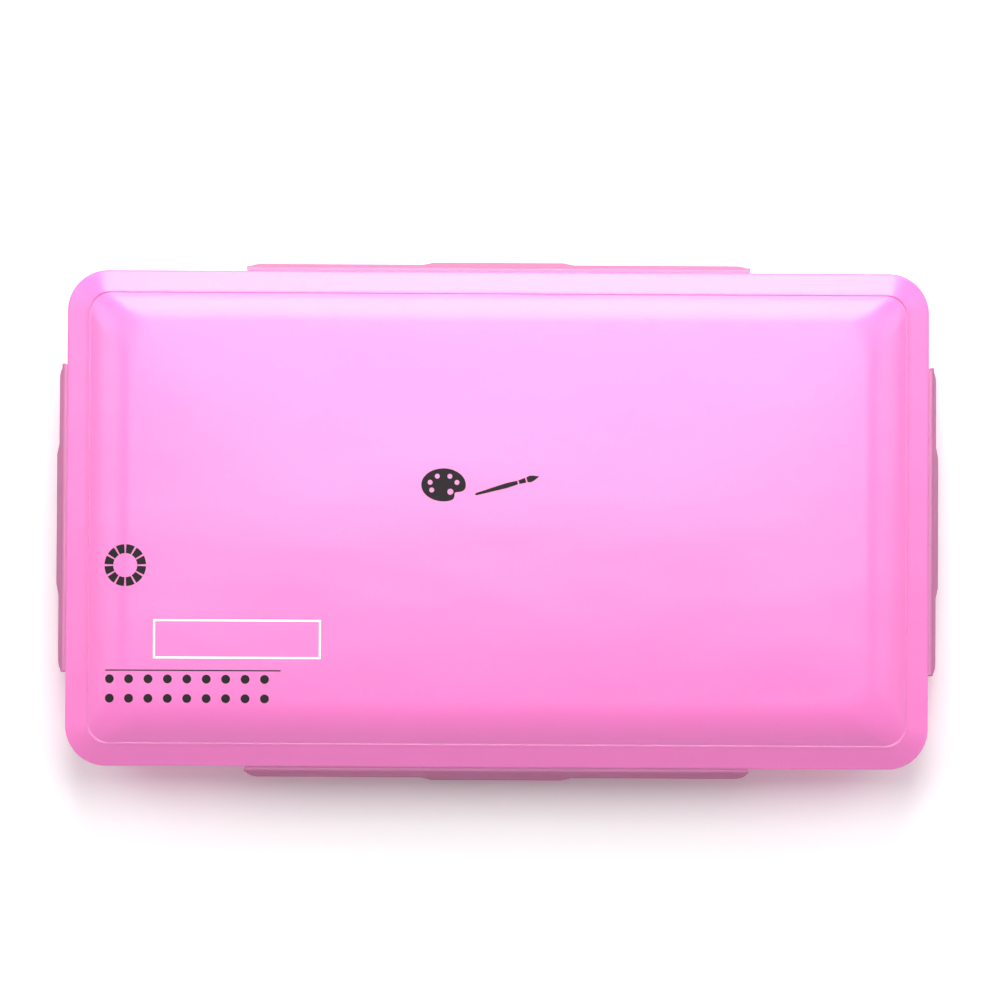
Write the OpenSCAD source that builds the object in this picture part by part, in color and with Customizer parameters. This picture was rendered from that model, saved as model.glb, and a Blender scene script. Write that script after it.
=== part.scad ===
// Gouache paint set box: a moulded base tray holding cups of gouache, under a lid that seals on a
// gasket and locks with a hinged clip on each side. The origin is at the middle of the underside,
// +X runs along the long side and +Y to the back. The lid is shown closed with its clips locked.

/* [Cups] */
// Cups along the length of the tray
cup_columns = 6; // [5:1:7]
// Cups across the width of the tray
cup_rows = 3; // [3:1:4]
// Length of one cup over its flange
cup_length = 50; // [46:0.5:54]
// Width of one cup over its flange
cup_width = 54.3; // [50:0.1:60]
// Height of one cup from its foot to the top of its flange
cup_height = 24; // [20:0.5:30]
// Wall thickness of a cup
cup_wall = 1; // [0.8:0.1:1.6]
// Reach of a cup's flange past its body
cup_flange = 2; // [1.5:0.1:3]
// Corner radius of a cup's body at its mouth
cup_corner_radius = 9; // [8:0.5:12]
// Lean of a cup's walls from upright, in degrees
cup_draft = 7; // [4:0.5:8]
// Thickness of the clear film sealed over a cup
film_thickness = 0.2; // [0.1:0.05:0.4]
// Margin of bare flange round the film
film_margin = 0.3; // [0.2:0.1:1]
// Gap between neighbouring cups
cup_gap = 1; // [0.6:0.1:2]
// Gap between the outer cups and the tray wall
tray_gap = 2.5; // [1.5:0.1:4]
// Depth of the film below the rim of the tray
cup_recess = 3.2; // [2:0.1:6]
// Depth of gouache in a cup
paint_depth = 17; // [12:0.5:18]
// Gap left between the gouache and the cup's wall
paint_clearance = 0.1; // [0.05:0.05:0.2]

/* [Base tray] */
// Wall thickness of the tray
base_wall = 1.8; // [1.4:0.1:2.4]
// Floor thickness of the tray
base_floor = 1.8; // [1.4:0.1:3]
// Lean of the tray's walls from upright, in degrees
base_draft = 3; // [1:0.5:4]
// Radius of the tray's outer bottom edge
base_edge_radius = 2.5; // [2:0.1:3]
// Height of the foot ring under the tray
foot_height = 0.8; // [0.5:0.1:1.5]
// Width of the foot ring
foot_width = 2; // [1.5:0.1:2.2]
// Reach of the rim outwards from the tray wall
rim_reach = 5.6; // [5:0.1:7]
// Thickness of the rim and of its turned down edge
rim_thickness = 2; // [1.6:0.1:2.4]
// Depth of the turned down edge below the top of the rim
rim_depth = 9.5; // [9:0.5:12]
// Radius of the rim's outer top edge
rim_edge_radius = 0.8; // [0.4:0.1:1.2]
// Height of the low ribs that part the cups
rib_height = 8; // [4:0.5:12]
// Thickness of the ribs at their top
rib_thickness = 1.2; // [1:0.1:2]

/* [Lid] */
// Corner radius of the lid, seen from above
lid_corner_radius = 15.5; // [15:0.5:20]
// Wall thickness of the lid
lid_wall = 2; // [1.6:0.1:2.2]
// Sideways gap between the lid's skirt and the rim of the tray
lid_fit = 0.6; // [0.3:0.1:0.8]
// Depth of the lid's skirt below its underside
lid_skirt = 5; // [4:0.5:6]
// Radius of the lid's outer edge
lid_edge_radius = 1.5; // [1:0.1:1.8]
// Width of the rim band round the lid
band_width = 8; // [7.5:0.1:9]
// Slope of the rim band, down and outwards, in degrees
band_slope = 28; // [20:1:32]
// Radius in the valley between the rim band and the shoulder
valley_radius = 8; // [4:1:10]
// Width of the rounded shoulder
shoulder_width = 17; // [14:0.5:24]
// Slope of the shoulder where it leaves the valley, in degrees
shoulder_slope = 42; // [36:1:46]
// Slope of the crowned top where it meets the shoulder, in degrees
crown_slope = 2; // [1:0.5:3]
// Corner radius of the crowned top
crown_corner_radius = 14; // [10:1:20]

/* [Gasket] */
// Gap between the lid and the rim of the tray, filled by the gasket
seal_gap = 1.6; // [1:0.1:2.4]
// Width of the gasket
gasket_width = 3; // [2:0.1:3.4]
// Depth of the gasket's channel in the lid
channel_depth = 1.5; // [1:0.1:1.8]
// Gap on each side of the gasket in its channel
gasket_clearance = 0.1; // [0.05:0.05:0.2]
// Distance from the lid's edge to the gasket's channel
channel_inset = 4.2; // [3.6:0.1:4.6]
// Thickness of the rib that forms the inner side of the channel
channel_rib = 1; // [0.8:0.1:1.4]

/* [Clips] */
// Length of the clips on the long sides
long_clip_length = 193; // [160:1:210]
// Length of the clips on the short sides
short_clip_length = 118; // [90:1:125]
// Thickness of a clip
clip_thickness = 1.5; // [1.2:0.1:2]
// Height of a clip below its hinge
clip_height = 17.8; // [17:0.1:20]
// Gap between a clip and the lid's side
clip_gap = 0.5; // [0.4:0.1:0.8]
// Height of the flared lip along the bottom of a clip
lip_height = 4; // [3:0.1:4.5]
// Flare of the lip from upright, in degrees
lip_flare = 26; // [15:1:35]
// Radius of a clip's lower corners
clip_corner_radius = 5; // [3:0.5:7]
// Width of the thumb tab in the middle of a clip
tab_width = 50; // [30:1:60]
// Reach of the thumb tab below the lip
tab_reach = 2; // [1:0.1:3]
// Drop of the hinge below the lid's underside
hinge_drop = 0.2; // [0:0.1:0.6]
// Thickness of the hinge web between the lid and a clip
web_thickness = 0.4; // [0.3:0.05:0.5]
// Gap between the web's round end and a clip
web_clearance = 0.05; // [0.04:0.01:0.1]

/* [Locks] */
// Length of each window in a long clip
long_window = 44; // [30:1:50]
// Length of each window in a short clip
short_window = 26; // [20:1:30]
// Distance from the middle of a long clip to the middle of its windows
long_window_place = 48; // [40:1:60]
// Distance from the middle of a short clip to the middle of its windows
short_window_place = 28; // [25:1:35]
// Height of a window
window_height = 4.2; // [3.6:0.1:5]
// Thickness of a lug at its root
lug_thickness = 2.5; // [2:0.1:3]
// Reach of a lug past the inner face of a clip
lug_bite = 0.9; // [0.5:0.1:1.1]
// Gap between a lug and each end of its window
lug_side_gap = 2; // [1:0.1:3]
// Gap between a lug and the bar of the clip below it
lug_gap = 0.3; // [0.2:0.1:0.5]

/* [Hidden] */
$fn = 48;
overlap = 0.5; // how far joined pieces of one moulding run into each other
steps_edge = 3; // flats in a small rounded edge
steps_corner = 8; // flats in a quarter turn of the lid's corner
steps_shoulder = 8; // flats across the lid's shoulder
steps_crown = 3; // flats from the shoulder to the middle of the crowned top

// Heights above the table
floor_top = foot_height + base_floor;
flange_top = floor_top + cup_height;
film_top = flange_top + film_thickness;
rim_top = film_top + cup_recess;
lid_under = rim_top + seal_gap;
band_edge = lid_under + edge_drop(lid_wall);
valley_height = band_edge + band_width * tan(band_slope);
skirt_bottom = lid_under - lid_skirt;
hinge_height = lid_under - hinge_drop;
clip_top = hinge_height - web_thickness / 2 - web_clearance;
clip_bottom = hinge_height - clip_height;

// Distances inwards from the lid's outline
rim_inset = lid_wall + lid_fit;
base_inset = rim_inset + rim_reach + base_wall;
base_foot_inset = base_inset + tan(base_draft) * (rim_top - floor_top);
shoulder_inset = band_width + shoulder_width;
channel_width = gasket_width + 2 * gasket_clearance;

// Distances outwards from the lid's outline
hinge_reach = clip_gap + web_thickness;
clip_outer = clip_gap + clip_thickness;

// The box wraps round the grid of cups
cup_pitch_x = cup_length + cup_gap;
cup_pitch_y = cup_width + cup_gap;
lid_length = cup_columns * cup_pitch_x - cup_gap + 2 * (tray_gap + base_inset);
lid_width = cup_rows * cup_pitch_y - cup_gap + 2 * (tray_gap + base_inset);
cup_count = cup_columns * cup_rows;

// The shoulder and the crowned top are arcs of these radii
shoulder_radius = shoulder_width / (sin(shoulder_slope) - sin(crown_slope));
shoulder_rise = shoulder_radius * (cos(crown_slope) - cos(shoulder_slope));
crown_run = lid_width / 2 - shoulder_inset;
crown_radius = crown_run / sin(crown_slope);
crown_start = valley_height + shoulder_rise;

paint_colours = [
    "white", "lemonchiffon", "gold", "orange", "tomato", "crimson",
    "hotpink", "mediumorchid", "rebeccapurple", "navy", "royalblue", "deepskyblue",
    "turquoise", "seagreen", "yellowgreen", "peru", "saddlebrown", "black"
];
box_pink = "#fc8fd1";
clip_pink = "#f79fd6";

function two_digits(number) = str(number < 10 ? "0" : "", number);
function cup_name(index) = str("cup_", two_digits(index + 1));
function paint_name(index) = str("paint_", two_digits(index + 1));

// Points on an arc about a centre, from one angle to another
function arc(centre, radius, from, to, steps) = [
    for (step = [0 : steps])
        let (angle = from + (to - from) * step / steps)
            centre + radius * [cos(angle), sin(angle)]
];

// Turns [inset, height] into the [distance from the corner's centre, height] that run_round takes
function from_inset(points, radius) = [for (point = points) [radius - point[0], point[1]]];

// Runs a profile round a rounded rectangle, which is length by width where the profile's x is radius
module run_round(length, width, radius) {
    for (turn = [0 : 3]) {
        across = (turn % 2 == 0 ? length : width) / 2 - radius;
        along = (turn % 2 == 0 ? width : length) / 2 - radius;
        rotate([0, 0, 90 * turn]) translate([across, along, 0]) {
            rotate_extrude(angle = 90) children();
            rotate([90, 0, 0]) linear_extrude(2 * along) children();
        }
    }
}

module rounded_plate(length, width, radius, height) {
    linear_extrude(height) {
        square([length - 2 * radius, width], center = true);
        square([length, width - 2 * radius], center = true);
        for (side_x = [-1, 1], side_y = [-1, 1])
            translate([side_x * (length / 2 - radius), side_y * (width / 2 - radius)])
                circle(radius);
    }
}

// Repeats its children on the two places of a pair, each side of the middle
module at_pair(place) {
    for (side = [-1, 1])
        translate([side * place, 0, 0]) children();
}

// Puts its children on one side of the lid, with their own x along that side and y outwards
module at_side(side) {
    turn = side == "front" ? 180 : side == "back" ? 0 : side == "left" ? 90 : -90;
    reach = is_long(side) ? lid_width / 2 : lid_length / 2;
    rotate([0, 0, turn]) translate([0, reach, 0]) children();
}

function is_long(side) = side == "front" || side == "back";
function clip_length(side) = is_long(side) ? long_clip_length : short_clip_length;
function window_length(side) = is_long(side) ? long_window : short_window;
function window_place(side) = is_long(side) ? long_window_place : short_window_place;

// ---- Base tray ----

// Section through the tray's wall, rim and turned down edge, as [inset, height]
function base_section() = let (
    wall_foot = base_foot_inset - base_wall,
    edge = base_edge_radius,
    inner_edge = edge - overlap,
    rim_edge = rim_edge_radius
) concat(
    [[rim_inset, rim_top - rim_depth]],
    arc([rim_inset + rim_edge, rim_top - rim_edge], rim_edge, 180, 90, steps_edge),
    [[base_inset, rim_top]],
    arc([base_foot_inset + inner_edge, floor_top + inner_edge], inner_edge, 180, 270, steps_edge),
    arc([wall_foot + edge, foot_height + edge], edge, 270, 180, steps_edge),
    [[base_inset - base_wall, rim_top - rim_thickness]],
    [[rim_inset + rim_thickness, rim_top - rim_thickness]],
    [[rim_inset + rim_thickness, rim_top - rim_depth]]
);

// A lug under which a clip's bar snaps: flat below, sloped above so that the clip rides over it
module lug(length) {
    under = lug_under();
    root = -(rim_inset + overlap);
    tip = clip_gap + lug_bite;
    rotate([90, 0, 90])
        linear_extrude(length, center = true)
            polygon([
                [root, under],
                [tip - lug_bite / 2, under],
                [tip, under + lug_bite / 2],
                [tip, under + lug_bite],
                [-rim_inset, under + lug_thickness],
                [root, under + lug_thickness]
            ]);
}

module cup_ribs() {
    inner_length = lid_length - 2 * base_foot_inset;
    inner_width = lid_width - 2 * base_foot_inset;
    for (column = [1 : cup_columns - 1])
        translate([cup_pitch_x * (column - cup_columns / 2), 0, 0])
            rotate([90, 0, 0]) rib(inner_width);
    for (row = [1 : cup_rows - 1])
        translate([0, cup_pitch_y * (row - cup_rows / 2), 0])
            rotate([90, 0, 90]) rib(inner_length);
}

// A low rib on the tray's floor, a little wider at its root
module rib(length) {
    root = rib_thickness / 2 + rib_height * tan(base_draft);
    linear_extrude(length, center = true)
        polygon([
            [-root, floor_top - overlap],
            [root, floor_top - overlap],
            [rib_thickness / 2, floor_top + rib_height],
            [-rib_thickness / 2, floor_top + rib_height]
        ]);
}

module base_tray() {
    floor_inset = base_foot_inset + base_edge_radius - 2 * overlap;
    foot_inset = base_foot_inset - base_wall + base_edge_radius;
    color(box_pink) {
        run_round(lid_length, lid_width, lid_corner_radius)
            polygon(from_inset(base_section(), lid_corner_radius));
        translate([0, 0, foot_height])
            rounded_plate(
                lid_length - 2 * floor_inset,
                lid_width - 2 * floor_inset,
                lid_corner_radius - floor_inset,
                base_floor
            );
        run_round(lid_length, lid_width, lid_corner_radius)
            translate([lid_corner_radius - foot_inset - foot_width, 0])
                square([foot_width, foot_height + overlap]);
        cup_ribs();
        for (side = ["front", "back", "left", "right"])
            at_side(side)
                at_pair(window_place(side))
                    lug(window_length(side) - 2 * lug_side_gap);
    }
}

// ---- Lid ----

// Corner radius of the lid's form at an inset: even to the valley, then opening out on the shoulder
function form_radius(inset) =
    inset <= band_width
        ? lid_corner_radius - inset
        : lid_corner_radius - band_width
            + (crown_corner_radius - lid_corner_radius + band_width)
            * min(1, (inset - band_width) / shoulder_width);

// How far below the rim band's edge a point lies that is as deep from the band as from the side
function edge_drop(depth) = depth * (1 / cos(band_slope) - tan(band_slope));

// A point off the valley line, as far from the rim band's surface as from the shoulder's
function valley_point(offset) = let (lean = (band_slope + shoulder_slope) / 2)
    [band_width, valley_height]
        + offset / cos((shoulder_slope - band_slope) / 2) * [-sin(lean), cos(lean)];

// The shoulder and crown as [inset, height], at a depth inside the outer surface
function shoulder_points(depth) = [
    for (step = [1 : steps_shoulder])
        let (slope = shoulder_slope + (crown_slope - shoulder_slope) * step / steps_shoulder)
            [
                shoulder_inset + shoulder_radius * sin(crown_slope)
                    - (shoulder_radius - depth) * sin(slope),
                crown_start - shoulder_radius * cos(crown_slope)
                    + (shoulder_radius - depth) * cos(slope)
            ]
];

function crown_points(depth) = [
    for (step = [1 : steps_crown])
        let (slope = crown_slope * (1 - step / (steps_crown + 1)))
            [
                shoulder_inset + crown_run - (crown_radius - depth) * sin(slope),
                crown_start - crown_radius * cos(crown_slope) + (crown_radius - depth) * cos(slope)
            ]
];

// The lid's outer surface, from the foot of the skirt to the crown
function lid_outside() = concat(
    [[0, skirt_bottom]],
    arc(
        [lid_edge_radius, band_edge - edge_drop(lid_edge_radius)],
        lid_edge_radius, 180, 90 + band_slope, steps_edge
    ),
    arc(
        valley_point(valley_radius),
        valley_radius, 270 + band_slope, 270 + shoulder_slope, steps_edge
    ),
    shoulder_points(0),
    crown_points(0)
);

// The lid's inner surface, from the crown to the foot of the skirt, with the gasket's channel
function lid_inside() = let (
    crown = crown_points(lid_wall),
    shoulder = shoulder_points(lid_wall),
    channel_end = channel_inset + channel_width
) concat(
    [for (step = [steps_crown - 1 : -1 : 0]) crown[step]],
    [for (step = [steps_shoulder - 1 : -1 : 0]) shoulder[step]],
    [valley_point(-lid_wall)],
    [[channel_end + channel_rib, lid_under]],
    [[channel_end, lid_under]],
    [[channel_end, lid_under + channel_depth]],
    [[channel_inset, lid_under + channel_depth]],
    [[channel_inset, lid_under]],
    arc([lid_wall + overlap, lid_under - overlap], overlap, 90, 180, 1),
    [[lid_wall, skirt_bottom]]
);

// A ring of points round a rounded rectangle at an inset and a height
function ring(inset, height) = let (
    radius = min(form_radius(inset), lid_width / 2 - inset)
) [
    for (turn = [0 : 3])
        let (
            side_x = turn == 0 || turn == 3 ? 1 : -1,
            side_y = turn < 2 ? 1 : -1,
            centre = [
                side_x * (lid_length / 2 - inset - radius),
                side_y * (lid_width / 2 - inset - radius)
            ]
        )
            for (point = arc(centre, radius, 90 * turn, 90 * turn + 90, steps_corner))
                [point[0], point[1], height]
];

// A shell lofted through rings: its outside, a cap at the crown, then its inside and a second cap
module lofted_shell(outside, inside) {
    rows = concat(outside, inside);
    count = 4 * (steps_corner + 1);
    last = len(rows);
    crown = len(outside) - 1;
    walls = [
        for (row = [0 : last - 1], spot = [0 : count - 1])
            if (row != crown)
                let (
                    next_row = (row + 1) % last,
                    next_spot = (spot + 1) % count
                )
                    [
                        row * count + spot,
                        next_row * count + spot,
                        next_row * count + next_spot,
                        row * count + next_spot
                    ]
    ];
    caps = [
        [for (spot = [count - 1 : -1 : 0]) crown * count + spot],
        [for (spot = [0 : count - 1]) (crown + 1) * count + spot]
    ];
    polyhedron([for (row = rows) each ring(row[0], row[1])], concat(walls, caps), convexity = 6);
}

// The thin web that carries a clip, with its round end on the hinge line
module hinge_web(length) {
    translate([-length / 2, -overlap, hinge_height - web_thickness / 2])
        cube([length, overlap + hinge_reach, web_thickness]);
    translate([0, hinge_reach, hinge_height])
        rotate([0, 90, 0]) cylinder(length, d = web_thickness, center = true);
}

module lid() {
    color(box_pink) {
        lofted_shell(lid_outside(), lid_inside());
        for (side = ["front", "back", "left", "right"])
            at_side(side) hinge_web(clip_length(side));
    }
}

module lid_gasket() {
    inset = channel_inset + gasket_clearance;
    height = seal_gap + channel_depth;
    color("whitesmoke")
        run_round(lid_length, lid_width, lid_corner_radius)
            translate([lid_corner_radius - inset - gasket_width, rim_top])
                polygon([
                    [gasket_width / 4, 0],
                    [gasket_width * 3 / 4, 0],
                    [gasket_width, seal_gap],
                    [gasket_width, height],
                    [0, height],
                    [0, seal_gap]
                ]);
}

// ---- Clips ----

// Height of the flat underside of the lugs, just above the bars of the clips
function lug_under() = window_bottom() + lug_gap;
function window_bottom() = clip_bottom + lip_height + window_rise;
window_rise = 3.6;

// Section through a clip, as [reach outwards from the lid's side, height]
function clip_section(bottom) = let (
    knee = clip_bottom + lip_height,
    flare = tan(lip_flare) * (knee - bottom),
    edge = clip_thickness / 4
) [
    [clip_gap, clip_top],
    [clip_gap, knee],
    [clip_gap + flare, bottom],
    [clip_outer + flare, bottom],
    [clip_outer, knee],
    [clip_outer, clip_top - edge],
    [clip_outer - edge, clip_top]
];

// Outline of a clip seen from outside, with its rounded lower corners and its thumb tab
module clip_outline(length) {
    radius = clip_corner_radius;
    half = length / 2;
    half_tab = tab_width / 2;
    slant = 2 * tab_reach;
    polygon(concat(
        [[-half, clip_top]],
        arc([-half + radius, clip_bottom + radius], radius, 180, 270, 2 * steps_edge),
        [[-half_tab - slant, clip_bottom]],
        [[-half_tab, clip_bottom - tab_reach]],
        [[half_tab, clip_bottom - tab_reach]],
        [[half_tab + slant, clip_bottom]],
        arc([half - radius, clip_bottom + radius], radius, 270, 360, 2 * steps_edge),
        [[half, clip_top]]
    ));
}

module clip(side) {
    length = clip_length(side);
    color(clip_pink)
        at_side(side)
            difference() {
                intersection() {
                    rotate([90, 0, 90])
                        linear_extrude(length, center = true)
                            polygon(clip_section(clip_bottom - tab_reach));
                    translate([0, clip_height, 0])
                        rotate([90, 0, 0])
                            linear_extrude(2 * clip_height) clip_outline(length);
                }
                at_pair(window_place(side))
                    translate([-window_length(side) / 2, 0, window_bottom()])
                        cube([window_length(side), clip_outer + overlap, window_height]);
            }
}

// ---- Cups and paint ----

// Puts its children at one cup's place on the floor of the tray, counted from the back left
module at_cup(index) {
    column = index % cup_columns;
    row = floor(index / cup_columns);
    translate([
        cup_pitch_x * (column - (cup_columns - 1) / 2),
        cup_pitch_y * ((cup_rows - 1) / 2 - row),
        floor_top
    ]) children();
}

// How far a cup's wall has leaned inwards at a depth below its flange
function cup_lean(depth) = tan(cup_draft) * depth;

module cup(index) {
    mouth = cup_corner_radius;
    below = cup_height - cup_wall;
    foot = mouth - cup_lean(below);
    body_length = cup_length - 2 * cup_flange;
    body_width = cup_width - 2 * cup_flange;
    color([0.95, 0.95, 0.95, 0.5])
        at_cup(index) {
            run_round(body_length, body_width, mouth)
                polygon([
                    [foot - cup_wall, 0],
                    [foot, 0],
                    [mouth, below],
                    [mouth + cup_flange, below],
                    [mouth + cup_flange, cup_height],
                    [mouth - cup_wall, cup_height],
                    [foot - cup_wall, cup_wall],
                    [foot - cup_wall - overlap, cup_wall],
                    [foot - cup_wall - overlap, 0]
                ]);
            rounded_plate(
                body_length - 2 * (mouth - foot + cup_wall),
                body_width - 2 * (mouth - foot + cup_wall),
                foot - cup_wall,
                cup_wall
            );
            translate([0, 0, cup_height])
                rounded_plate(
                    cup_length - 2 * film_margin,
                    cup_width - 2 * film_margin,
                    mouth + cup_flange - film_margin,
                    film_thickness
                );
        }
}

module paint(index) {
    inset = cup_wall + paint_clearance;
    foot = cup_corner_radius - cup_lean(cup_height - cup_wall) - inset;
    surface = foot + cup_lean(paint_depth);
    body_length = cup_length - 2 * (cup_flange + cup_corner_radius);
    body_width = cup_width - 2 * (cup_flange + cup_corner_radius);
    color(paint_colours[index % len(paint_colours)])
        at_cup(index)
            translate([0, 0, cup_wall]) {
                run_round(body_length, body_width, 0)
                    polygon([
                        [0, 0],
                        [foot, 0],
                        [surface, paint_depth],
                        [0, paint_depth]
                    ]);
                translate([-body_length / 2, -body_width / 2, 0])
                    cube([body_length, body_width, paint_depth]);
            }
}

base_tray();
lid();
lid_gasket();
clip("front");  // clip_front
clip("back");  // clip_back
clip("left");  // clip_left
clip("right");  // clip_right
for (index = [0 : cup_count - 1]) {
    cup(index);
    paint(index);
}
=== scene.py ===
import math
import random

import bmesh
import bpy
from mathutils import Matrix, Vector, noise
from mathutils.bvhtree import BVHTree


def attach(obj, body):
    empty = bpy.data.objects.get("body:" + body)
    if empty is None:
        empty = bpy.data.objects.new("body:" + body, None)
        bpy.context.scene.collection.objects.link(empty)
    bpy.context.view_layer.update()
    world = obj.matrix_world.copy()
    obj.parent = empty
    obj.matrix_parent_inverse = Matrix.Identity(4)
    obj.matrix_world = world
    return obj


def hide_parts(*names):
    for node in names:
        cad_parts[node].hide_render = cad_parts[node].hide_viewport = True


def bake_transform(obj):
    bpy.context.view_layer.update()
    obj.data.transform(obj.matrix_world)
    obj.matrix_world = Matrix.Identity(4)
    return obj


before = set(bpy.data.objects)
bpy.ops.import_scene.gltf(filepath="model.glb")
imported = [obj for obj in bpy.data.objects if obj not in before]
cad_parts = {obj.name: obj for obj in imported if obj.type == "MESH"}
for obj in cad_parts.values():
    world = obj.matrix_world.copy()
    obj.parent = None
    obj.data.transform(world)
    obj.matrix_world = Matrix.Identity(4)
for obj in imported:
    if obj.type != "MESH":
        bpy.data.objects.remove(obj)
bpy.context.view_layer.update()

# ---- Camera ----
# The photograph is taken from almost straight above, from a long way off, with the box a little
# below the middle of the frame and turned a fraction of a degree.

MM = 0.001
PHOTO_WIDTH = 1000
MM_PER_PIXEL = 330 / 862  # the lid's length over its width in the photograph
LID_CENTRE_PIXEL = (497.5, 519.6)
FRAME_CENTRE_PIXEL = (500, 502)
OUTLINE_HEIGHT = 32  # height of the lid's outer edge, where the pixel scale was taken
CAMERA_DISTANCE = 3000
CAMERA_LEAN = math.radians(2.0)  # towards the front of the box
CAMERA_ROLL = math.radians(0.3)

aim = Vector((
    (FRAME_CENTRE_PIXEL[0] - LID_CENTRE_PIXEL[0]) * MM_PER_PIXEL,
    (LID_CENTRE_PIXEL[1] - FRAME_CENTRE_PIXEL[1]) * MM_PER_PIXEL,
    OUTLINE_HEIGHT,
)) * MM
back = Vector((0, -math.sin(CAMERA_LEAN), math.cos(CAMERA_LEAN)))
camera_data = bpy.data.cameras.new("camera")
camera_data.sensor_fit = "HORIZONTAL"
camera_data.sensor_width = 36
camera_data.lens = camera_data.sensor_width * CAMERA_DISTANCE / (PHOTO_WIDTH * MM_PER_PIXEL)
camera_data.clip_start = 0.1
camera_data.clip_end = 20
camera = bpy.data.objects.new("camera", camera_data)
camera.location = aim + back * CAMERA_DISTANCE * MM
camera.rotation_euler = (
    Matrix.Rotation(CAMERA_LEAN, 3, "X") @ Matrix.Rotation(CAMERA_ROLL, 3, "Z")
).to_euler()
bpy.context.scene.collection.objects.link(camera)
bpy.context.scene.camera = camera

# ---- Light ----
# One softbox hangs over the back half of the box, so that its glow fades from back to front across
# the lid. A second one, lower behind the box, lights the back shoulder; two weak panels at the
# sides and the pale walls of the room fill the rest, under a darker ceiling.

bpy.context.scene.view_settings.view_transform = "Standard"


def softbox(name, place, target, size, radiance):
    """A rectangular lamp at place, facing target, in metres; radiance 1 looks pure white."""
    light = bpy.data.lights.new(name, "AREA")
    light.shape = "RECTANGLE"
    light.size, light.size_y = size
    light.energy = radiance * math.pi * size[0] * size[1]
    lamp = bpy.data.objects.new(name, light)
    lamp.location = place
    lamp.rotation_euler = (Vector(target) - Vector(place)).to_track_quat("-Z", "Y").to_euler()
    lamp.visible_camera = False
    bpy.context.scene.collection.objects.link(lamp)


softbox("overhead_softbox", (0.01, 0.21, 0.72), (0.01, 0.21, 0.0), (0.50, 0.44), 3.4)
softbox("back_softbox", (0.02, 0.72, 0.50), (0.02, 0.02, 0.04), (0.60, 0.62), 5.4)
softbox("left_panel", (-0.62, 0.22, 0.60), (0.0, 0.03, 0.04), (0.5, 0.5), 1.8)
softbox("right_panel", (0.62, 0.22, 0.60), (0.0, 0.03, 0.04), (0.5, 0.5), 1.5)


def add(tree, kind, inputs=None, **settings):
    """Adds a node with its settings, and sets or links its inputs by name or number."""
    node = tree.nodes.new(kind)
    for name, value in settings.items():
        setattr(node, name, value)
    for name, value in (inputs or {}).items():
        if isinstance(value, bpy.types.Node):
            value = value.outputs[0]
        if isinstance(value, bpy.types.NodeSocket):
            tree.links.new(value, node.inputs[name])
        else:
            node.inputs[name].default_value = value
    return node


def calc(tree, operation, *values, **settings):
    """Adds a node that calculates with the values."""
    return add(tree, "ShaderNodeMath", dict(enumerate(values)), operation=operation, **settings)


def ranged(tree, value, start, end, low=0.0, high=1.0):
    """Adds a node that turns start to end into low to high, and holds values beyond them."""
    return add(tree, "ShaderNodeMapRange", {
        "Value": value, "From Min": start, "From Max": end, "To Min": low, "To Max": high})


WALL_LIGHT, CEILING_LIGHT = 1.3, 0.22  # strength of the room's light on the scene

world = bpy.data.worlds.new("pale_room")
world.use_nodes = True
world.node_tree.nodes.clear()
ray = add(world.node_tree, "ShaderNodeLightPath")
seen = calc(
    world.node_tree, "MAXIMUM", ray.outputs["Is Camera Ray"], ray.outputs["Is Transmission Ray"])
seen = calc(world.node_tree, "MAXIMUM", seen, ray.outputs["Is Glossy Ray"])
towards = add(world.node_tree, "ShaderNodeTexCoord").outputs["Generated"]
towards = add(world.node_tree, "ShaderNodeSeparateXYZ", {0: towards})
room = ranged(world.node_tree, towards.outputs["Z"], 0.30, 0.55, WALL_LIGHT, CEILING_LIGHT)
strength = add(world.node_tree, "ShaderNodeMix", {0: seen, 2: room, 3: 1.0})
backdrop = add(world.node_tree, "ShaderNodeBackground", {
    "Color": (1, 1, 1, 1), "Strength": strength})
add(world.node_tree, "ShaderNodeOutputWorld", {"Surface": backdrop})
bpy.context.scene.world = world

# ---- Floor ----
# A white paper sweep, which shows pure white except in the box's own soft shadow.

FLOOR_SIZE = 6.0


def linear(colour, alpha=1.0):
    """An sRGB hex colour as linear values for a shader."""
    parts = [int(colour[place:place + 2], 16) / 255 for place in (1, 3, 5)]
    return (*[p / 12.92 if p <= 0.04045 else ((p + 0.055) / 1.055) ** 2.4 for p in parts], alpha)


def mixed(tree, share, first, second):
    """Adds a node that mixes two linear colours, and gives its colour output."""
    mix = add(tree, "ShaderNodeMix", {0: share, 6: first, 7: second}, data_type="RGBA")
    return mix.outputs[2]


def new_material(name):
    """An empty material and its node tree."""
    material = bpy.data.materials.new(name)
    material.use_nodes = True
    material.node_tree.nodes.clear()
    return material, material.node_tree


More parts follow.
